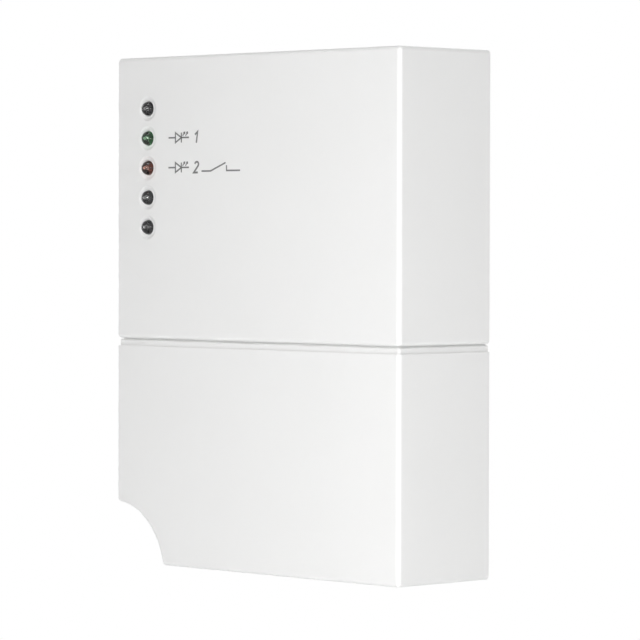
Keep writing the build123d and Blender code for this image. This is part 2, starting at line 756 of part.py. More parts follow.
with BuildPart() as fuse_caps:
    for x in cap_centres:
        along_x(x, fuse_axis, fuse_z, fuse_cap_r, fuse_cap_length)
    along_x(fuse_x, fuse_axis, fuse_z, fuse_cap_r - fuse_cap_wall,
            fuse_length - 2 * fuse_cap_wall, Mode.SUBTRACT)
keep(fuse_caps, "fuse_caps")

with BuildPart() as fuse_wire:
    along_x(fuse_x, fuse_axis, fuse_z, fuse_wire_r, fuse_length - 2 * fuse_cap_wall)
keep(fuse_wire, "fuse_wire")

with BuildPart() as fuse_clips:
    for x in cap_centres:
        along_x(x, fuse_axis, fuse_z, fuse_cap_r + shaft_clearance + clip_t, clip_width)
        slab(x, fuse_z, clip_width, clip_mouth / 2, board_front, fuse_axis)
        along_x(x, fuse_axis, fuse_z, fuse_cap_r + shaft_clearance, clip_width, Mode.SUBTRACT)
        slab(x, fuse_z, clip_width, clip_mouth, fuse_axis, fuse_axis + fuse_height, Mode.SUBTRACT)
keep(fuse_clips, "fuse_clips")

# Pairing switch, reached with the terminal cover off
switch_x = -board_tongue_width / 2 + switch_size + clip_t * 4
switch_z = fuse_z
switch_far = board_front + switch_height
with BuildPart() as pairing_switch:
    slab(switch_x, switch_z, switch_size, switch_size, board_front, switch_far)
    rod(switch_x, switch_z, button_r + shaft_clearance, board_front + button_floor,
        switch_far, Mode.SUBTRACT)
keep(pairing_switch, "pairing_switch")

with BuildPart() as switch_plate:
    slab(switch_x, switch_z, switch_size, switch_size, switch_far, switch_far + switch_plate_t)
    rod(switch_x, switch_z, button_r + shaft_clearance, switch_far,
        switch_far + switch_plate_t, Mode.SUBTRACT)
keep(switch_plate, "switch_plate")

with BuildPart() as pairing_button:
    rod(switch_x, switch_z, button_r, board_front + button_floor + 2 * button_travel,
        board_front + button_height)
    fillet(pairing_button.edges().group_by(Axis.Y)[0], button_travel)
keep(pairing_button, "pairing_button")

# Radio module on a pin header, with a shield and a wire antenna
radio_z = big_can_z + big_can_r - radio_depth / 2 - header_pitch
radio_near = board_front + radio_lift
radio_far = radio_near + radio_board_t
header_z = radio_z - radio_depth / 2 + header_pitch / 2
header_xs = [radio_x + (i - (header_pins - 1) / 2) * header_pitch for i in range(header_pins)]
with BuildPart() as radio_board:
    slab(radio_x, radio_z, radio_width, radio_depth, radio_near, radio_far)
    for x in header_xs:
        rod(x, header_z, header_pin_r + shaft_clearance, radio_near, radio_far, Mode.SUBTRACT)
keep(radio_board, "radio_board")

with BuildPart() as radio_shield:
    slab(radio_x, radio_z + header_pitch, shield_size[0], shield_size[1],
         radio_far, radio_far + shield_size[2])
    fillet(radio_shield.edges().filter_by(Axis.Y), foot_height)
    fillet(radio_shield.faces().sort_by(Axis.Y)[0].edges(), foot_height / 2)
keep(radio_shield, "radio_shield")

with BuildPart() as radio_header:
    slab(radio_x, header_z, header_pins * header_pitch, header_pitch, board_front, radio_near)
    for x in header_xs:
        rod(x, header_z, header_pin_r + shaft_clearance, board_front, radio_near, Mode.SUBTRACT)
keep(radio_header, "radio_header")

with BuildPart() as radio_pins:
    for x in header_xs:
        rod(x, header_z, header_pin_r, board_front, radio_far + lead_tail)
keep(radio_pins, "radio_pins")

antenna_x = radio_x - radio_width / 2 + header_pitch / 2
antenna_z = radio_z + radio_depth / 2 - header_pitch / 2
antenna_far = radio_far + antenna_stand
antenna_high = board_top - antenna_from_top
antenna_end = board_side - board_screw_inset
with BuildPart() as antenna:
    with BuildLine() as antenna_path:
        FilletPolyline(
            (antenna_x, -radio_far, antenna_z),
            (antenna_x, -antenna_far, antenna_z),
            (antenna_x, -antenna_far, antenna_high),
            (antenna_end, -antenna_far, antenna_high),
            radius=antenna_bend_r,
        )
    with BuildSketch(Plane(origin=antenna_path.line @ 0, z_dir=antenna_path.line % 0)):
        Circle(antenna_r)
    sweep()
keep(antenna, "antenna")

# Microcontroller with gull-wing pins along both sides, and the crystal above it
chip_x = radio_x
chip_z = screw_low + chip_size[1] / 2 + chip_pin_reach + header_pitch
chip_near = board_front + chip_lift
pin_near = chip_near + chip_size[2] / 2 - chip_pin_t
with BuildPart() as microcontroller:
    slab(chip_x, chip_z, chip_size[0], chip_size[1], chip_near, chip_near + chip_size[2])
    chamfer(microcontroller.faces().sort_by(Axis.Y)[0].edges(), chip_pin_t)
keep(microcontroller, "microcontroller")

with BuildPart() as microcontroller_pins:
    for i in range(chip_pins):
        x = chip_x + (i - (chip_pins - 1) / 2) * chip_pin_pitch
        for direction in (-1, 1):
            edge = chip_z + direction * chip_size[1] / 2
            knee = edge + direction * chip_pin_reach / 2
            end = edge + direction * chip_pin_reach
            slab(x, (edge + knee) / 2, chip_pin_width, chip_pin_reach / 2,
                 pin_near, pin_near + chip_pin_t)
            slab(x, knee, chip_pin_width, chip_pin_t, board_front, pin_near + chip_pin_t)
            slab(x, (knee + end) / 2, chip_pin_width, chip_pin_reach / 2,
                 board_front, board_front + chip_pin_t)
keep(microcontroller_pins, "microcontroller_pins")

crystal_z = chip_z + chip_size[1] / 2 + chip_pin_reach + crystal_size[1] / 2 + header_pitch / 2
with BuildPart() as crystal:
    slab(chip_x, crystal_z, crystal_size[0], crystal_size[1],
         board_front, board_front + crystal_size[2])
    fillet(crystal.edges().filter_by(Axis.Y), crystal_size[1] / 2 - chip_pin_t)
    fillet(crystal.faces().sort_by(Axis.Y)[0].edges(), chip_pin_t)
keep(crystal, "crystal")
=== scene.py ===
import math
from collections import namedtuple

import bmesh
import bpy
import numpy as np
from mathutils import Euler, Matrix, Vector


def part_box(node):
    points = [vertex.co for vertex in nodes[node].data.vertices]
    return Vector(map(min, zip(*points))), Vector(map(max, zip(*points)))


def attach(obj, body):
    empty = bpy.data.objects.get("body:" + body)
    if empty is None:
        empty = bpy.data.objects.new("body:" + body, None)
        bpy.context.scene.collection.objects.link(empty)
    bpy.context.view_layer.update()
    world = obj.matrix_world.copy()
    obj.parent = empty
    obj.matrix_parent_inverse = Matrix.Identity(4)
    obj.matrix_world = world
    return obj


# Looks of a wall-mounted wireless thermostat receiver, in the frame of its parts: +Z is up,
# +X is to the right for someone facing it, and the front looks along -Y with the wall at 0.
# Finishes, camera and studio are in metres. Shapes of the pieces made here are in millimetres.

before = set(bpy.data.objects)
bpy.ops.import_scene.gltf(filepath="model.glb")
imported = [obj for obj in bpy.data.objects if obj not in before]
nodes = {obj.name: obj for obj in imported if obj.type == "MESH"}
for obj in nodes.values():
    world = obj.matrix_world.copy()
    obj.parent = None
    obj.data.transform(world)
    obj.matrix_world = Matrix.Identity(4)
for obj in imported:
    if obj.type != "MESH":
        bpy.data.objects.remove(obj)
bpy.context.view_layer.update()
mm = 0.001
print("frame loaded,", len(nodes), "parts")

camera = {
    "place": (0.57581, -0.57233, 0.01720),
    "turn": (88.662, -0.123, 45.533),  # degrees
    "lens": 211.7,  # millimetres, like the sensor
    "sensor": 36.0,
    "clip": (0.01, 20.0),
}


def makeCamera(values):
    data = bpy.data.cameras.new("camera")
    data.lens = values["lens"]
    data.sensor_width = values["sensor"]
    data.clip_start, data.clip_end = values["clip"]
    holder = bpy.data.objects.new("camera", data)
    holder.location = values["place"]
    holder.rotation_euler = Euler([math.radians(v) for v in values["turn"]])
    bpy.context.scene.collection.objects.link(holder)
    bpy.context.scene.camera = holder


makeCamera(camera)
bpy.context.scene.view_settings.view_transform = "Standard"
print("camera placed")


# Shader maths

class Value:
    # An output socket on which Python's operators add Math nodes.
    def __init__(self, finish, socket):
        self.finish = finish
        self.socket = socket

    def __add__(self, other):
        return self.finish.maths("ADD", self, other)

    def __sub__(self, other):
        return self.finish.maths("SUBTRACT", self, other)

    def __rsub__(self, other):
        return self.finish.maths("SUBTRACT", other, self)

    def __mul__(self, other):
        return self.finish.maths("MULTIPLY", self, other)

    def __lt__(self, other):
        return self.finish.maths("LESS_THAN", self, other)

    def __gt__(self, other):
        return self.finish.maths("GREATER_THAN", self, other)

    __radd__ = __add__
    __rmul__ = __mul__


class Finish:
    # One material: constants go on the shader's own sockets, and what varies is fed to them.
    def __init__(self, name, constants):
        self.material = bpy.data.materials.new(name)
        self.material.use_nodes = True
        self.tree = self.material.node_tree
        self.shader = self.tree.nodes["Principled BSDF"]
        for socket, value in constants.items():
            self.shader.inputs[socket].default_value = value
        self.coordinates = self.node("ShaderNodeTexCoord", output="Object")

    def node(self, kind, settings=None, inputs=None, output=0):
        # Adds one node: its settings first, then the values or links of its sockets.
        made = self.tree.nodes.new(kind)
        for key, value in (settings or {}).items():
            setattr(made, key, value)
        for key, value in (inputs or {}).items():
            if isinstance(value, Value):
                self.tree.links.new(value.socket, made.inputs[key])
            else:
                made.inputs[key].default_value = value
        return Value(self, made.outputs[output])

    def maths(self, operation, *inputs):
        return self.node("ShaderNodeMath", {"operation": operation}, dict(enumerate(inputs)))

    def feed(self, socket, value):
        self.tree.links.new(value.socket, self.shader.inputs[socket])

    def noise(self, perMetre, detail=2.0, stretch=(1.0, 1.0, 1.0)):
        # Smooth noise from 0 to 1, with about that many bumps to a metre, times the stretch of each axis.
        place = self.node("ShaderNodeMapping", {}, {"Vector": self.coordinates, "Scale": stretch})
        return self.node("ShaderNodeTexNoise", {}, {"Vector": place, "Scale": perMetre, "Detail": detail})

    def along(self, axis):
        # Place along one axis, 0 for X to 2 for Z, in metres.
        return self.node("ShaderNodeSeparateXYZ", {}, {0: self.coordinates}, axis)

    def facing(self, axis):
        # How far the surface looks along one axis, from -1 to 1.
        normal = self.node("ShaderNodeTexCoord", output="Normal")
        return self.node("ShaderNodeSeparateXYZ", {}, {0: normal}, axis)

    def blend(self, factor, first, second):
        # Colour that goes from first to second with the factor. A Mix node's colours are its
        # inputs 6 and 7, and its output 2.
        inputs = {"Factor": factor}
        for index, colour in ((6, first), (7, second)):
            inputs[index] = colour if isinstance(colour, Value) else (*colour, 1.0)
        return self.node("ShaderNodeMix", {"data_type": "RGBA"}, inputs, 2)

    def bump(self, height, depth):
        # Relief of that depth in metres where the height goes from 0 to 1.
        self.feed("Normal", self.node("ShaderNodeBump", {}, {
            "Height": height, "Distance": depth, "Strength": 1.0}))


def shade(colour, share):
    return tuple(v * share for v in colour)


def dress(names, material):
    for name in names:
        for holder in nodes[name].material_slots:
            holder.material = material


finishes = {}


# Finishes of the moulded pieces. Grain is the mould's fine texture, as bumps to a metre, depth is
# its relief, and drift is the share by which the tone wanders.

mouldings = {
    "shell": {
        "parts": ["top_cover", "terminal_cover"],
        "colour": (0.815, 0.815, 0.81), "roughness": 0.5, "grain": 5200.0, "depth": 0.000012,
        "drift": 0.012, "coat": 0.0,
    },
    "basePlastic": {
        "parts": ["base"],
        "colour": (0.79, 0.79, 0.775), "roughness": 0.5, "grain": 3800.0, "depth": 0.00002,
        "drift": 0.03, "coat": 0.0,
    },
    "nylon": {
        "parts": ["led_holder", "relay_bobbin"],
        "colour": (0.72, 0.70, 0.62), "roughness": 0.45, "grain": 3000.0, "depth": 0.00002,
        "drift": 0.05, "coat": 0.0,
    },
    "terminalGrey": {
        "parts": ["terminal_block"],
        "colour": (0.30, 0.32, 0.33), "roughness": 0.42, "grain": 4200.0, "depth": 0.000015,
        "drift": 0.06, "coat": 0.0,
    },
    "relayBlue": {
        "parts": ["relay_case"],
        "colour": (0.03, 0.13, 0.42), "roughness": 0.28, "grain": 2600.0, "depth": 0.000015,
        "drift": 0.08, "coat": 0.2,
    },
    "blackPlastic": {
        "parts": ["relay_base", "regulator", "rectifier", "pairing_switch", "pairing_button",
                  "microcontroller", "radio_header"],
        "colour": (0.022, 0.022, 0.024), "roughness": 0.48, "grain": 5600.0, "depth": 0.00002,
        "drift": 0.25, "coat": 0.0,
    },
    "potting": {
        "parts": ["transformer"],
        "colour": (0.035, 0.036, 0.04), "roughness": 0.4, "grain": 1500.0, "depth": 0.00005,
        "drift": 0.3, "coat": 0.15,
    },
    "filmYellow": {
        "parts": ["suppression_capacitor"],
        "colour": (0.72, 0.46, 0.05), "roughness": 0.35, "grain": 2800.0, "depth": 0.00002,
        "drift": 0.06, "coat": 0.1,
    },
    "varistorBlue": {
        "parts": ["varistor"],
        "colour": (0.05, 0.16, 0.40), "roughness": 0.3, "grain": 900.0, "depth": 0.00006,
        "drift": 0.1, "coat": 0.5,
    },
    "antennaRed": {
        "parts": ["antenna"],
        "colour": (0.46, 0.03, 0.025), "roughness": 0.38, "grain": 2200.0, "depth": 0.00002,
        "drift": 0.08, "coat": 0.2,
    },
}

mouldedLook = {
    "patches": 45.0,  # to a metre
    "coatRoughness": 0.12,
    "grainShine": 0.08,  # range of the roughness over the grain
    "patchShine": 0.06,  # and over the patches
}


def moulded(name, values, look):
    # Plastic: the grain in bump and roughness, and patches over which its tone drifts. Their
    # means are taken off again, so that colour and roughness are met on the whole.
    finish = Finish(name, {"Coat Weight": values["coat"], "Coat Roughness": look["coatRoughness"]})
    grain = finish.noise(values["grain"], detail=3.0)
    patches = finish.noise(look["patches"])
    patchTone, grainTone = values["drift"] * 2, values["drift"] / 2
    tone = patches * patchTone + grain * grainTone + (1.0 - (patchTone + grainTone) / 2)
    base = finish.node("ShaderNodeRGB")
    base.socket.default_value = (*values["colour"], 1.0)
    finish.feed("Base Color", finish.node(
        "ShaderNodeVectorMath", {"operation": "SCALE"}, {0: base, "Scale": tone}))
    grainShine, patchShine = look["grainShine"], look["patchShine"]
    roughness = values["roughness"] - (grainShine + patchShine) / 2
    finish.feed("Roughness", grain * grainShine + patches * patchShine + roughness)
    finish.bump(grain, values["depth"])
    return finish.material


for name, values in mouldings.items():
    finishes[name] = moulded(name, values, mouldedLook)
    dress(values["parts"], finishes[name])
print("moulded finishes done")


# Finishes of the metal pieces. Marks are counted to a metre, and the stretch sets the direction
# of drawing or brushing.

metals = {
    "screwSteel": {
        "parts": ["cover_screw", "board_screws"] + [f"terminal_screw_{i}" for i in range(1, 6)],
        "colour": (0.62, 0.61, 0.58), "roughness": 0.32, "stretch": (1.0, 1.0, 1.0), "marks": 2600.0,
    },
    "cageSteel": {
        "parts": [f"terminal_cage_{i}" for i in range(1, 6)],
        "colour": (0.60, 0.60, 0.57), "roughness": 0.36, "stretch": (1.0, 0.15, 1.0), "marks": 3000.0,
    },
    "tinnedWire": {
        "parts": ["led_leads", "component_leads", "microcontroller_pins", "fuse_wire"],
        "colour": (0.72, 0.72, 0.71), "roughness": 0.28, "stretch": (1.0, 0.2, 1.0), "marks": 4000.0,
    },
    "contactBrass": {
        "parts": ["terminal_contacts", "relay_blade", "relay_contacts", "radio_pins"],
        "colour": (0.72, 0.53, 0.26), "roughness": 0.33, "stretch": (1.0, 1.0, 0.2), "marks": 2600.0,
    },
    "softIron": {
        "parts": ["relay_yoke", "relay_core", "relay_armature"],
        "colour": (0.50, 0.49, 0.47), "roughness": 0.42, "stretch": (0.2, 1.0, 1.0), "marks": 2200.0,
    },
    "nickel": {
        "parts": ["fuse_caps", "fuse_clips"],
        "colour": (0.66, 0.64, 0.58), "roughness": 0.25, "stretch": (0.25, 1.0, 1.0), "marks": 2400.0,
    },
    "tinSheet": {
        "parts": ["radio_shield", "switch_plate", "crystal"],
        "colour": (0.68, 0.68, 0.67), "roughness": 0.34, "stretch": (0.12, 1.0, 1.0), "marks": 2000.0,
    },
}

metalLook = {
    "tarnish": 260.0,  # patches to a metre
    "tarnishTone": 0.72,
    "tarnishShare": 0.7,
    "markShine": 0.22,
    "tarnishShine": 0.12,
    "polish": 0.16,  # taken off the roughness for what marks and tarnish add
    "depth": 0.000012,
}


def metal(name, values, look):
    # Plated metal: fine marks along its drawing in roughness and bump, with a slow tarnish.
    finish = Finish(name, {"Metallic": 1.0})
    marks = finish.noise(values["marks"], detail=4.0, stretch=values["stretch"])
    tarnish = finish.noise(look["tarnish"], detail=3.0)
    dull = shade(values["colour"], look["tarnishTone"])
    finish.feed("Base Color", finish.blend(tarnish * look["tarnishShare"], values["colour"], dull))
    roughness = values["roughness"] - look["polish"]
    finish.feed("Roughness", marks * look["markShine"] + tarnish * look["tarnishShine"] + roughness)
    finish.bump(marks, look["depth"])
    return finish.material


for name, values in metals.items():
    finishes[name] = metal(name, values, metalLook)
    dress(values["parts"], finishes[name])
print("metal finishes done")


# Circuit boards: solder mask over a fine glass weave, with bare laminate at the edges

boardMasks = {
    "circuit_board": ("board", (0.018, 0.15, 0.055)),
    "radio_board": ("radioBoard", (0.02, 0.07, 0.22)),
}

boardLook = {
    "coat": {"Coat Weight": 0.35, "Coat Roughness": 0.18},
    "weave": 0.00062,  # from one bundle of glass to the next but one
    "weaveDepth": 0.000006,
    "patches": 120.0,  # to a metre, as are the fibres
    "deepTone": 0.72,
    "weaveTone": 0.35,
    "patchTone": 0.5,
    "laminate": ((0.42, 0.36, 0.17), (0.56, 0.50, 0.28)),
    "fibres": 2200.0,
    "fibreStretch": (1.0, 4.0, 1.0),
    "faceFrom": 0.7,  # of the way from an edge to a face, past which the mask lies
    "roughness": 0.3,
    "patchShine": 0.1,
    "edgeShine": 0.3,
}


def boardFinish(name, mask, look):
    finish = Finish(name, look["coat"])
    turn = 2 * math.pi / look["weave"]
    weave = finish.maths("SINE", finish.along(0) * turn) * finish.maths("SINE", finish.along(2) * turn)
    cloth = weave * 0.5 + 0.5
    patches = finish.noise(look["patches"], detail=3.0)
    deep = shade(mask, look["deepTone"])
    masked = finish.blend(cloth * look["weaveTone"] + patches * look["patchTone"], mask, deep)
    laminate = finish.blend(finish.noise(look["fibres"], stretch=look["fibreStretch"]), *look["laminate"])
    onFace = finish.maths("ABSOLUTE", finish.facing(1)) > look["faceFrom"]
    finish.feed("Base Color", finish.blend(onFace, laminate, masked))
    edge = (1.0 - onFace) * look["edgeShine"]
    finish.feed("Roughness", edge + patches * look["patchShine"] + look["roughness"])
    finish.bump(cloth, look["weaveDepth"])
    return finish.material


for part, (name, mask) in boardMasks.items():
    dress([part], boardFinish(name, mask, boardLook))


# Capacitor cans: a printed sleeve with a pale stripe and dashes down one side, and a scored bare top

cans = {
    "parts": ["reservoir_capacitor", "smoothing_capacitor"],
    "coat": {"Coat Weight": 0.3, "Coat Roughness": 0.1},
    "sleeve": (0.02, 0.022, 0.03),
    "stripe": (0.42, 0.43, 0.44),
    "dash": (0.03, 0.03, 0.035),
    "bare": ((0.70, 0.70, 0.70), (0.58, 0.58, 0.58)),
    "stripeTurn": 0.5,  # radians, as are the two half widths
    "stripeHalf": 0.45,
    "dashHalf": 0.12,
    "dashes": 280.0,  # to a metre
    "rim": 0.0009,
    "topDepth": 0.0006,
    "scoreHalf": 0.0002,
    "scoreReach": 0.55,  # of the radius
    "scoreDepth": 0.00012,
    "specks": 900.0,  # to a metre
    "speckDepth": 0.1,  # of the score's depth
    "roughness": 0.24,
    "shine": 0.1,
}


def canFinish(part, look):
    low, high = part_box(part)
    centre = (low + high) / 2
    radius = (high.x - low.x) / 2
    finish = Finish(part + "Sleeve", look["coat"])
    across = finish.along(0) - centre.x
    up = finish.along(2) - centre.z
    out = finish.maths("SQRT", across * across + up * up)
    fromStripe = finish.maths("ABSOLUTE", finish.maths("ARCTAN2", up, across) + look["stripeTurn"])
    band = finish.maths("FRACT", finish.along(1) * look["dashes"])
    dash = (band < 0.5) * (fromStripe < look["dashHalf"])
    top = (out < radius - look["rim"]) * (finish.along(1) < low.y + look["topDepth"])
    sleeve = finish.blend(fromStripe < look["stripeHalf"], look["sleeve"], look["stripe"])
    sleeve = finish.blend(dash, sleeve, look["dash"])
    speck = finish.noise(look["specks"], detail=3.0)
    finish.feed("Base Color", finish.blend(top, sleeve, finish.blend(speck, *look["bare"])))
    finish.feed("Metallic", top)
    finish.feed("Roughness", top * look["shine"] + speck * look["shine"] + look["roughness"])
    half = look["scoreHalf"]
    cross = (finish.maths("ABSOLUTE", across) < half) + (finish.maths("ABSOLUTE", up) < half)
    score = cross * (out < radius * look["scoreReach"])
    finish.bump(speck * look["speckDepth"] - score * top, look["scoreDepth"])
    return finish.material


for part in cans["parts"]:
    dress([part], canFinish(part, cans))


# Relay winding: round turns of lacquered wire, with painted shade that darkens the copper between the turns

winding = {
    "coat": {"Coat Weight": 0.6, "Coat Roughness": 0.08},
    "wire": 0.00022,  # thickness, and so the step from turn to turn
    "depth": 0.00006,
    # Bright and dark copper: the dark one serves as painted shade between the turns and as random tone over
    # the patches
    "copper": ((0.62, 0.25, 0.10), (0.38, 0.12, 0.05)),
    # how far the painted shade between the turns goes towards the dark copper
    "paintedTurnShade": 0.3,
    "patchTone": 0.5,
    "patches": 700.0,
    "roughness": 0.25,
    "patchShine": 0.15,
}


def windingFinish(look):
    finish = Finish("copperWinding", {"Metallic": 1.0, **look["coat"]})
    turns = finish.maths("SINE", finish.along(1) * (2 * math.pi / look["wire"]))
    patches = finish.noise(look["patches"])
    # Painted shade between the round turns from the sine, plus random tone from the patches
    tone = turns * look["paintedTurnShade"] + patches * look["patchTone"]
    finish.feed("Base Color", finish.blend(tone, *look["copper"]))
    finish.feed("Roughness", patches * look["patchShine"] + look["roughness"])
    finish.bump(turns * 0.5 + 0.5, look["depth"])
    return finish.material


dress(["relay_winding"], windingFinish(winding))


# Fuse glass and the lights' clear tinted epoxy, both with faint flow marks

fuseGlass = {
    "tint": (0.93, 0.97, 0.95),
    "roughness": 0.0,
    "body": {"Transmission Weight": 1.0, "IOR": 1.5},
}

lights = {
    "led_1_dark": (0.34, 0.34, 0.35),
    "led_2_green": (0.32, 0.64, 0.37),
    "led_3_red": (0.68, 0.33, 0.26),
    "led_4_dark": (0.44, 0.44, 0.45),
    "led_5_dark": (0.40, 0.40, 0.41),
}

lightEpoxy = {
    "roughness": 0.02,
    "body": {"Transmission Weight": 0.98, "IOR": 1.41},
}

flowMarks = {
    "marks": 800.0,  # to a metre
    "tone": 0.9,
    "shine": 0.03,
    "depth": 0.000004,
}


def glassFinish(name, tint, values, look):
    finish = Finish(name, values["body"])
    flow = finish.noise(look["marks"])
    finish.feed("Base Color", finish.blend(flow, tint, shade(tint, look["tone"])))
    finish.feed("Roughness", flow * look["shine"] + values["roughness"])
    finish.bump(flow, look["depth"])
    return finish.material


dress(["fuse_tube"], glassFinish("fuseGlass", fuseGlass["tint"], fuseGlass, flowMarks))
for part, tint in lights.items():
    dress([part], glassFinish(part + "Epoxy", tint, lightEpoxy, flowMarks))
print("boards, cans, winding and glass done")


# Inks, slightly uneven with a soft gloss, and copper under the board's mask

inks = {
    "greyPrint": (0.155, 0.155, 0.155),
    "whitePrint": (0.74, 0.75, 0.72),
    "maskedCopper": (0.03, 0.215, 0.08),
    "darkPrint": (0.05, 0.045, 0.03),
}

inkLook = {
    "patches": 4200.0,
    "lighter": 1.25,
    "lift": 0.01,
    "roughness": 0.45,
    "patchShine": 0.2,
    "depth": 0.000004,
}


def inkFinish(name, colour, look):
    finish = Finish(name, {})
    patches = finish.noise(look["patches"], detail=3.0)
    light = tuple(min(1.0, v * look["lighter"] + look["lift"]) for v in colour)
    finish.feed("Base Color", finish.blend(patches, colour, light))
    finish.feed("Roughness", patches * look["patchShine"] + look["roughness"])
    finish.bump(patches, look["depth"])
    return finish.material


for name, colour in inks.items():
    finishes[name] = inkFinish(name, colour, inkLook)
print("inks done")


# Meshes. A shape is its points and a list of arrays of faces.

mergeWithin = 1e-7  # metres
emptyWithin = 1e-8


def newPiece(name, points, faces, material, body=None, slot=None, smooth=False):
    # Puts a shape into a mesh, merges doubles and points the faces outwards.
    mesh = bpy.data.meshes.new(name)
    mesh.from_pydata(points.tolist(), [], [corners for array in faces for corners in array.tolist()])
    work = bmesh.new()
    work.from_mesh(mesh)
    bmesh.ops.remove_doubles(work, verts=work.verts, dist=mergeWithin)
    bmesh.ops.dissolve_degenerate(work, dist=emptyWithin, edges=work.edges)
    bmesh.ops.recalc_face_normals(work, faces=work.faces)
    work.to_mesh(mesh)
    work.free()
    mesh.polygons.foreach_set("use_smooth", np.full(len(mesh.polygons), smooth))
    mesh.materials.append(material)
    piece = bpy.data.objects.new(name, mesh)
    bpy.context.scene.collection.objects.link(piece)
    if body:
        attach(piece, body)
    return piece


Extent = namedtuple("Extent", "left right low high rear front")


def extent(part):
    # A part's box. Its rear and front are its nearest and farthest from the wall.
    low, high = (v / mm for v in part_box(part))
    return Extent(low.x, high.x, low.z, high.z, -high.y, -low.y)


def middleOf(part):
    box = extent(part)
    return (box.left + box.right) / 2, (box.low + box.high) / 2


def levels(part, values):
    # Where a mark on a part's front starts, just inside it, and where it ends, just before it.
    front = extent(part).front
    return front - values["sunk"], front + values["thick"]


def gridFaces(rows, columns, closed):
    # Quads between neighbours on a grid of points, row by row. Closed joins the last column to the first.
    steps = columns if closed else columns - 1
    down, across = np.meshgrid(np.arange(rows - 1), np.arange(steps), indexing="ij")
    beside = (across + 1) % columns
    corners = (down * columns + across, down * columns + beside,
               (down + 1) * columns + beside, (down + 1) * columns + across)
    return np.stack([c.ravel() for c in corners], axis=-1)


def gather(shapes):
    # Joins several shapes into one, with each one's faces counted on from the last.
    faces = []
    start = 0
    for points, arrays in shapes:
        faces += [array + start for array in arrays]
        start += len(points)
    return np.concatenate([points for points, _ in shapes]), faces


def spun(profile, centres, segments):
    # A profile of (radius, distance from the wall) turned about each centre (x, z):
    # x = centre + radius * cos(turn), z = centre + radius * sin(turn), y = -distance.
    profile = np.asarray(profile, float)
    turn = np.linspace(0, 2 * np.pi, segments, endpoint=False)
    radius, distance = profile[:, 0][:, None], profile[:, 1][:, None]
    one = np.stack([radius * np.cos(turn), -distance * np.ones_like(turn), radius * np.sin(turn)], axis=-1)
    faces = gridFaces(len(profile), segments, True)
    return gather([((one.reshape(-1, 3) + (x, 0.0, z)) * mm, [faces]) for x, z in centres])


def ribbon(path, width, near, far, sharpest=0.4):
    # A flat strip along a path of (x, z), from near to far in front of the wall. At each point the
    # two edges lie half the width to either side along the mitre, which is the mean of the
    # neighbouring directions turned a quarter and lengthened by one over the cosine of half the
    # bend, a cosine that is held at sharpest or above.
    path = np.asarray(path, float)
    runs = np.diff(path, axis=0)
    runs = runs / np.linalg.norm(runs, axis=1)[:, None]
    before, after = np.vstack([runs[:1], runs]), np.vstack([runs, runs[-1:]])
    middle = before + after
    middle = middle / np.linalg.norm(middle, axis=1)[:, None]
    side = np.stack([-middle[:, 1], middle[:, 0]], axis=-1)
    reach = width / 2 / np.clip((middle * after).sum(axis=1), sharpest, 1.0)[:, None]
    left, right = path + side * reach, path - side * reach
    rails = [(left, near), (left, far), (right, far), (right, near)]
    points = np.stack([np.insert(edge, 1, -distance, axis=1) for edge, distance in rails], axis=1)
    last = 4 * (len(path) - 1)
    ends = np.array([[0, 1, 2, 3], [last + 3, last + 2, last + 1, last]])
    return points.reshape(-1, 3) * mm, [gridFaces(len(path), 4, True), ends]


def plate(outline, x, z, base, thick):
    # An outline of (x, height above the base), moved to x and given a thickness along Z about z.
    outline = np.asarray(outline, float)
    count = len(outline)
    flat = np.stack([outline[:, 0] + x, -(outline[:, 1] + base), np.full(count, z)], axis=-1)
    points = np.concatenate([flat - (0.0, 0.0, thick / 2), flat + (0.0, 0.0, thick / 2)])
    index = np.arange(count)
    beside = (index + 1) % count
    walls = np.stack([index, beside, beside + count, index + count], axis=-1)
    return points * mm, [walls, np.stack([index[::-1], index + count])]


def block(x, z, across, up, near, far):
    # A box centred on (x, z), from near to far in front of the wall.
    corners = np.array([(x + a * across / 2, -d, z + b * up / 2) for d in (near, far)
                        for a, b in ((-1, -1), (1, -1), (1, 1), (-1, 1))])
    faces = np.array([(0, 1, 2, 3), (7, 6, 5, 4), (0, 4, 5, 1), (1, 5, 6, 2), (2, 6, 7, 3), (3, 7, 4, 0)])
    return corners * mm, [faces]


def arc(centre, radius, start, end, steps=14):
    # x = centre + radius * cos(turn) and z = centre + radius * sin(turn), from start to end in degrees.
    turn = np.radians(np.linspace(start, end, steps))
    return np.stack([centre[0] + radius * np.cos(turn), centre[1] + radius * np.sin(turn)], axis=-1)


def framePath(left, right, low, high):
    # Round a rectangle from the middle of its lower side, so that all four corners are mitred.
    middle = (left + right) / 2
    return [(middle, low), (right, low), (right, high), (left, high), (left, low), (middle, low)]


# Centre lines of the numerals, in a field 0.55 wide and 1 high

numerals = {
    1: [(0.06, 0.72), (0.36, 0.97), (0.36, 0.0)],
    2: np.vstack([arc((0.27, 0.73), 0.24, 165, -35), [(0.03, 0.03), (0.55, 0.03)]]),
    3: np.vstack([arc((0.26, 0.74), 0.23, 150, -80), arc((0.26, 0.27), 0.26, 75, -150)]),
    4: [(0.42, 0.0), (0.42, 0.97), (0.02, 0.28), (0.56, 0.28)],
    5: np.vstack([[(0.48, 0.96), (0.10, 0.96), (0.07, 0.55)], arc((0.25, 0.31), 0.28, 110, -145)]),
}
numeralPitch = 0.75  # from one to the next
numeralMiddle = 0.28  # from a numeral's left to its middle


def digitRow(digits, x, z, height, line, near, far, slant=0.0):
    # Numerals side by side from x on, standing on z and leaned by the slant times their height.
    rows = []
    for place, digit in enumerate(digits):
        path = np.asarray(numerals[digit], float) * height
        across = path[:, 0] + slant * path[:, 1] + x + numeralPitch * height * place
        rows.append(ribbon(np.stack([across, path[:, 1] + z], axis=-1), line, near, far))
    return rows


# Print on the top cover: a light's circuit symbol with a number, and a switch symbol

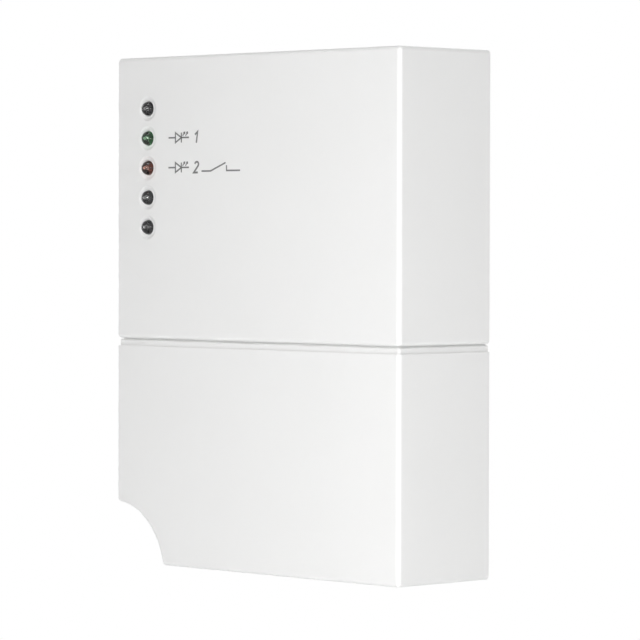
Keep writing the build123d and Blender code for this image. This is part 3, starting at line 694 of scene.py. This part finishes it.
coverPrint = {
    "thick": 0.02,
    "gap": 0.004,
    "numbers": {1: "led_2_green", 2: "led_3_red"},
    "numberX": -18.45,
    "numberLine": 0.42,
    "numberDrop": 1.2,
    "capHeight": 2.45,
    "slant": 0.17,
    "symbolEnds": (-26.4, -19.9),
    "symbolLine": 0.336,
    "triangleHalf": 1.05,
    "noseReach": 0.84,
    "arrowLine": 0.252,
    "arrowStarts": ((1.25, 0.35), (2.15, 0.35)),  # from the symbol's middle
    "arrowShapes": (((0.0, 0.0), (0.62, 0.75)), ((0.25, 0.72), (0.66, 0.80), (0.68, 0.38))),
    "switchLine": 0.34,
    "switchPaths": (((-15.9, 30.17), (-13.1, 30.17), (-8.4, 31.9)),
                    ((-8.1, 31.35), (-8.1, 30.22), (-3.9, 30.22))),
}


def lightSymbol(middle, values, near, far):
    # A diode: a lead, an open triangle, a bar and a lead, with two small arrows that leave it.
    left, right = values["symbolEnds"]
    body = (left + right) / 2
    half = values["triangleHalf"]
    back, nose = body - half, body + values["noseReach"]
    paths = [
        [(left, middle), (back, middle)],
        [(back, middle), (back, middle + half), (nose, middle), (back, middle - half), (back, middle)],
        [(nose, middle + half), (nose, middle - half)],
        [(nose, middle), (right, middle)],
    ]
    strips = [ribbon(path, values["symbolLine"], near, far) for path in paths]
    for start in values["arrowStarts"]:
        for shape in values["arrowShapes"]:
            path = np.array(shape) + start + (body, middle)
            strips.append(ribbon(path, values["arrowLine"], near, far))
    return strips


def makeCoverPrint(values):
    near = extent("top_cover").front + values["gap"]
    far = near + values["thick"]
    strips = []
    for number, part in values["numbers"].items():
        middle = middleOf(part)[1]
        strips += lightSymbol(middle, values, near, far)
        strips += digitRow((number,), values["numberX"], middle - values["numberDrop"], values["capHeight"],
                           values["numberLine"], near, far, values["slant"])
    strips += [ribbon(path, values["switchLine"], near, far) for path in values["switchPaths"]]
    newPiece("cover_print", *gather(strips), finishes["greyPrint"], "top_cover", "shell")


makeCoverPrint(coverPrint)
print("print on the cover done")


# Inside each light: a broad post with a cup for the chip, a narrow one beside it with a round tip,
# and the wire between. Heights are above the foot of the posts.

lightPosts = {
    "foot": 0.05,  # above the light's base
    "thick": 0.2,
    "broad": ((-1.3, 0.0), (-1.3, 0.9), (-1.0, 1.6), (-0.52, 2.4), (-0.46, 3.98),
              (-0.34, 3.98), (-0.36, 2.3), (-0.8, 1.3), (-0.9, 0.9), (-0.9, 0.0)),
    "narrow": ((0.55, 0.0), (0.55, 0.9), (0.3, 1.9), (0.24, 4.02),
               (0.34, 4.02), (0.42, 2.0), (0.9, 0.9), (0.9, 0.0)),
    "cup": ((0.0, 3.98), (0.08, 3.98), (0.2, 4.16), (0.25, 4.16), (0.25, 3.9), (0.0, 3.9)),
    "cupX": -0.4,
    "tip": ((0.0, 4.12), (0.1, 4.1), (0.17, 4.0), (0.17, 3.85), (0.0, 3.85)),
    "tipX": 0.3,
    "segments": 20,
    "wire": ((-0.36, 0.02), (-0.16, 0.32), (-0.02, 0.36), (0.12, 0.28), (0.3, 0.02)),
    "wireWidth": 0.12,
    "wireHeights": (4.0, 4.12),
}


def makeLightPosts(values):
    shapes = []
    for part in lights:
        x, z = middleOf(part)
        foot = extent(part).rear + values["foot"]
        for outline in (values["broad"], values["narrow"]):
            shapes.append(plate(outline, x, z, foot, values["thick"]))
        for profile, across in ((values["cup"], values["cupX"]), (values["tip"], values["tipX"])):
            shapes.append(spun(np.array(profile) + (0.0, foot), [(x + across, z)], values["segments"]))
        near, far = (foot + height for height in values["wireHeights"])
        shapes.append(ribbon(np.array(values["wire"]) + (x, z), values["wireWidth"], near, far))
    newPiece("light_posts", *gather(shapes), finishes["tinnedWire"], "base", "tinned_wire")


makeLightPosts(lightPosts)
print("posts in the lights done")


# Print on the circuit board: outlines of the parts, rings round the capacitors, and numbers

boardPrint = {
    "sunk": 0.005,
    "thick": 0.03,
    "line": 0.18,
    "margin": 0.4,
    "framed": ["transformer", "relay_case", "suppression_capacitor", "varistor", "rectifier", "regulator",
               "pairing_switch", "microcontroller_pins", "crystal", "terminal_block", "radio_board"],
    "ringed": ["reservoir_capacitor", "smoothing_capacitor"],
    "ringSteps": 49,
    # Digits and where they stand: x, z
    "numbers": (((1,), 6.6, 44.0), ((2,), -13.2, 43.9), ((3,), -2.6, 23.6), ((4,), 31.6, 16.4),
                ((5,), -4.4, 4.0), ((1, 1), -29.0, 15.0), ((1, 2), -28.6, 22.2), ((1, 3), -9.8, -12.6),
                ((1, 4), -1.4, -6.0), ((2, 1), 11.4, 12.4), ((2, 2), -30.6, 42.0)),
    "numberHeight": 1.35,
}


def makeBoardPrint(values):
    near, far = levels("circuit_board", values)
    margin, line = values["margin"], values["line"]
    strips = []
    for part in values["framed"]:
        left, right, low, high = extent(part)[:4]
        path = framePath(left - margin, right + margin, low - margin, high + margin)
        strips.append(ribbon(path, line, near, far))
    for part in values["ringed"]:
        left, right = extent(part)[:2]
        ring = arc(middleOf(part), (right - left) / 2 + margin, 0, 360, values["ringSteps"])
        strips.append(ribbon(ring, line, near, far))
    for digits, x, z in values["numbers"]:
        strips += digitRow(digits, x, z, values["numberHeight"], line, near, far)
    newPiece("board_print", *gather(strips), finishes["whitePrint"], "base", "board")


makeBoardPrint(boardPrint)


# Tracks under the board's mask

boardTracks = {
    "sunk": 0.005,
    "thick": 0.015,
    "broadLine": 1.7,
    "broad": (((15.0, -15.0), (15.0, -13.4), (18.3, -10.1)),
              ((-0.4, -9.0), (-3.2, -6.2), (-3.2, 0.6), (-4.6, 2.0), (-4.6, 9.0), (0.0, 13.6), (7.4, 13.6)),
              ((7.5, -15.0), (7.5, -14.2), (5.4, -12.1), (5.4, -4.6), (10.6, 0.6)),
              ((33.6, 4.0), (33.6, 14.0), (29.6, 18.0), (12.0, 18.0), (9.6, 20.4)),
              ((-3.6, 43.4), (0.6, 45.2), (30.4, 45.2), (34.6, 41.0), (34.6, 22.0))),
    "fineLine": 0.36,
    # How many side by side, the first one's path, and each point's step from track to track
    "fine": ((3, ((-15.5, 5.0), (-15.5, 2.4), (-12.2, -0.9), (-12.2, -5.0)),
              ((1.1, 0.0), (1.1, -0.9), (1.1, -0.9), (1.1, 0.0))),
             (3, ((-28.6, 17.0), (-30.0, 19.0)), ((-0.9, 1.6), (0.0, 1.6))),
             (6, ((-25.8, 16.0), (-25.8, 16.8)), (1.7, 0.0)),
             (4, ((-24.6, 22.2), (-24.6, 27.4)), (2.54, 0.0)),
             (1, ((-12.0, 14.6), (-9.4, 17.2), (-9.4, 32.0)), (0.0, 0.0)),
             (1, ((-12.0, 12.0), (-7.4, 16.6), (-7.4, 17.0)), (0.0, 0.0))),
}


def makeBoardTracks(values):
    near, far = levels("circuit_board", values)
    strips = [ribbon(path, values["broadLine"], near, far) for path in values["broad"]]
    for count, path, steps in values["fine"]:
        for place in range(count):
            track = np.array(path) + np.array(steps) * place
            strips.append(ribbon(track, values["fineLine"], near, far))
    newPiece("board_tracks", *gather(strips), finishes["maskedCopper"], "base", "board")


makeBoardTracks(boardTracks)


# Round pads, and chip resistors and capacitors with their bright ends

smallParts = {
    "sunk": 0.005,
    "thick": 0.03,
    "pads": ((-3.2, -3.0), (-4.6, 5.2), (5.4, -8.4), (33.6, 9.0), (34.6, 30.0), (34.6, 36.0), (-9.4, 24.4),
             (-33.2, 3.2), (-33.2, 0.9), (18.3, -10.1), (-12.2, -5.0), (-11.1, -5.0), (-10.0, -5.0)),
    "padRadii": (0.35, 0.8),
    "padSegments": 20,
    # Where the chips lie, x and z, and whether they are turned upright
    "chips": ((-33.6, 12.6, False), (-33.6, 9.9, False), (-33.6, 7.2, False), (-9.6, 10.6, True),
              (-7.2, 10.6, True), (-27.2, 24.8, False), (-14.6, 24.8, False), (-1.6, 16.6, False),
              (2.6, 16.6, False), (35.4, 17.0, True), (-5.6, -12.6, False), (-1.2, -12.6, False)),
    "chipSize": (2.0, 1.25, 0.55),
    "chipEnd": 0.42,
    "bodyShare": (0.96, 0.93),  # of the ends' width and height
}


def makeSmallParts(values):
    near, far = levels("circuit_board", values)
    inner, outer = values["padRadii"]
    ring = ((inner, near), (inner, far), (outer, far), (outer, near), (inner, near))
    bright = [spun(ring, values["pads"], values["padSegments"])]
    bodies = []
    face = extent("circuit_board").front
    long, short, tall = values["chipSize"]
    end = values["chipEnd"]
    narrower, lower = values["bodyShare"]
    for x, z, upright in values["chips"]:
        size, cap = ((short, long), (short, end)) if upright else ((long, short), (end, short))
        bodies.append(block(x, z, size[0] * narrower, size[1] * narrower, face, face + tall * lower))
        for side in ((end - long) / 2, (long - end) / 2):
            place = (x, z + side) if upright else (x + side, z)
            bright.append(block(*place, *cap, face, face + tall))
    newPiece("board_pads", *gather(bright), finishes["tinnedWire"], "base", "tinned_wire")
    newPiece("chip_parts", *gather(bodies), finishes["blackPlastic"], "base", "black_plastic")


makeSmallParts(smallParts)
print("board print, tracks and small parts done")


# Print on the parts: pole numbers, frames, symbols and numbers

partPrint = {
    "thick": 0.02,
    "sunk": 0.005,
    "poles": {"height": 2.1, "line": 0.34, "above": 3.35},
    "boxed": {
        "relay_case": {"inset": 1.6, "line": 0.24, "digits": (2, 4), "height": 2.3},
        "transformer": {"inset": 2.0, "line": 0.3, "digits": (1, 2), "height": 3.2},
    },
    "digitBoldness": 1.3,
    "leadEnd": 4.0,  # the switch symbol, from its own left end
    "bladeEnd": (7.0, 1.6),
    "restFrom": 7.4,
    "film": {"line": 0.26, "digits": (1, 2, 5), "height": 2.0, "left": 3.6},
}


def boxedPrint(part, look, values):
    # A frame inside the part's outline, with a number at its upper left and a switch symbol at its foot.
    near, far = levels(part, values)
    left, right, low, high = extent(part)[:4]
    inset, line = look["inset"], look["line"]
    strips = [ribbon(framePath(left + inset, right - inset, low + inset, high - inset), line, near, far)]
    left, right, low, high = left + 2 * inset, right - 2 * inset, low + 2 * inset, high - 2 * inset
    strips += digitRow(look["digits"], left, high - look["height"], look["height"],
                       line * values["digitBoldness"], near, far)
    across, up = values["bladeEnd"]
    blade = [(left, low), (left + values["leadEnd"], low), (left + across, low + up)]
    strips.append(ribbon(blade, line, near, far))
    strips.append(ribbon([(left + values["restFrom"], low), (right, low)], line, near, far))
    return strips


def makePartPrint(values):
    marks = []
    look = values["poles"]
    for number in range(1, 6):
        x, z = middleOf(f"terminal_cage_{number}")
        marks += digitRow((number,), x - look["height"] * numeralMiddle, z + look["above"], look["height"],
                          look["line"], *levels("terminal_block", values))
    for part, look in values["boxed"].items():
        marks += boxedPrint(part, look, values)
    newPiece("part_print", *gather(marks), finishes["whitePrint"], "base", "terminal_grey")

    look = values["film"]
    part = "suppression_capacitor"
    z = middleOf(part)[1] - look["height"] / 2
    marks = digitRow(look["digits"], extent(part).left + look["left"], z, look["height"], look["line"],
                     *levels(part, values))
    newPiece("capacitor_print", *gather(marks), finishes["darkPrint"], "base", "film_yellow")


makePartPrint(partPrint)
print("print on the parts done")


# Studio. The key lights the front and the side lamp the right side, the next two lift the lower
# ends of both, and the last three fill the top, the rear and the left.

studio = {
    "floorLevel": -0.15,
    "floorReach": 3.0,
    "floorRings": 24,
    "floorSegments": 64,
    "floor": {"Base Color": (0.86, 0.86, 0.86, 1.0), "Roughness": 0.9, "Specular IOR Level": 0.1},
    "shadowReach": 0.1,  # up to here the floor shows as it is
    "whiteReach": 0.34,  # and from here on it is plain white
    "white": {"Color": (1.0, 1.0, 1.0, 1.0), "Strength": 1.0},
    "ambient": {"Color": (1.0, 1.0, 1.0, 1.0), "Strength": 0.1},
    "lamps": {
        "key": {"from": (0.1916, -0.4304, 0.0916), "size": (0.09, 0.09), "power": 0.91},
        "side": {"from": (0.6013, -0.1060, 0.1077), "size": (0.10, 0.10), "power": 0.98},
        "under": {"from": (0.2254, -0.2334, -0.1311), "size": (0.20, 0.03), "power": 0.21},
        "low": {"from": (0.1110, -0.3049, -0.1311), "size": (0.20, 0.03), "power": 0.112},
        "top": {"from": (0.1, -0.12, 0.8), "size": (0.4, 0.4), "power": 2.0},
        "rear": {"from": (-0.35, 0.85, 0.25), "size": (0.5, 0.5), "power": 4.0},
        "left": {"from": (-0.80, 0.15, 0.15), "size": (0.5, 0.5), "power": 3.0},
    },
}


def seenByView(finish):
    # 1 for what the camera sees straight, in a reflection or through glass, and 0 for light.
    direct, mirrored, through = (finish.node("ShaderNodeLightPath", output=ray) for ray in (
        "Is Camera Ray", "Is Glossy Ray", "Is Transmission Ray"))
    return finish.maths("MAXIMUM", finish.maths("MAXIMUM", direct, mirrored), through)


def makeFloor(values):
    # A disc of rings whose radius grows with the square of the ring's number, seen as plain white
    # far out, and as a pale matt floor with the object's shadow under it.
    rings, segments = values["floorRings"], values["floorSegments"]
    radius = values["floorReach"] * np.linspace(0, 1, rings) ** 2
    turn = np.linspace(0, 2 * np.pi, segments, endpoint=False)
    points = np.stack([radius[:, None] * np.cos(turn), radius[:, None] * np.sin(turn),
                       np.full((rings, segments), values["floorLevel"])], axis=-1).reshape(-1, 3)
    finish = Finish("paleFloor", values["floor"])
    x, y = finish.along(0), finish.along(1)
    away = finish.node("ShaderNodeMapRange", {"interpolation_type": "SMOOTHSTEP"}, {
        "Value": finish.maths("SQRT", x * x + y * y),
        "From Min": values["shadowReach"], "From Max": values["whiteReach"], "To Min": 0.0, "To Max": 1.0})
    white = finish.node("ShaderNodeEmission", {}, values["white"])
    mixed = finish.node("ShaderNodeMixShader", {}, {
        0: away * seenByView(finish), 1: Value(finish, finish.shader.outputs[0]), 2: white})
    finish.tree.links.new(mixed.socket, finish.tree.nodes["Material Output"].inputs["Surface"])
    floor = newPiece("floor", points, [gridFaces(rings, segments, True)], finish.material, smooth=True)


class WorldFinish(Finish):
    # The world's tree, with the same methods for adding nodes.
    def __init__(self, world):
        self.tree = world.node_tree


def makeWorld(values):
    world = bpy.data.worlds.new("studio")
    world.use_nodes = True
    bpy.context.scene.world = world
    finish = WorldFinish(world)
    ambient, white = (finish.node("ShaderNodeBackground", {}, values[name]) for name in ("ambient", "white"))
    mixed = finish.node("ShaderNodeMixShader", {}, {0: seenByView(finish), 1: ambient, 2: white})
    finish.tree.links.new(mixed.socket, finish.tree.nodes["World Output"].inputs["Surface"])


def makeLamp(name, values):
    # A rectangle that faces the middle of the receiver and that the camera doesn't see.
    data = bpy.data.lights.new(name, "AREA")
    data.shape = "RECTANGLE"
    data.size, data.size_y = values["size"]
    data.energy = values["power"]
    lamp = bpy.data.objects.new(name, data)
    lamp.location = values["from"]
    lamp.rotation_euler = (-Vector(values["from"])).to_track_quat("-Z", "Y").to_euler()
    lamp.visible_camera = False
    bpy.context.scene.collection.objects.link(lamp)


makeFloor(studio)
makeWorld(studio)
for name, values in studio["lamps"].items():
    makeLamp(name, values)
print("studio done")
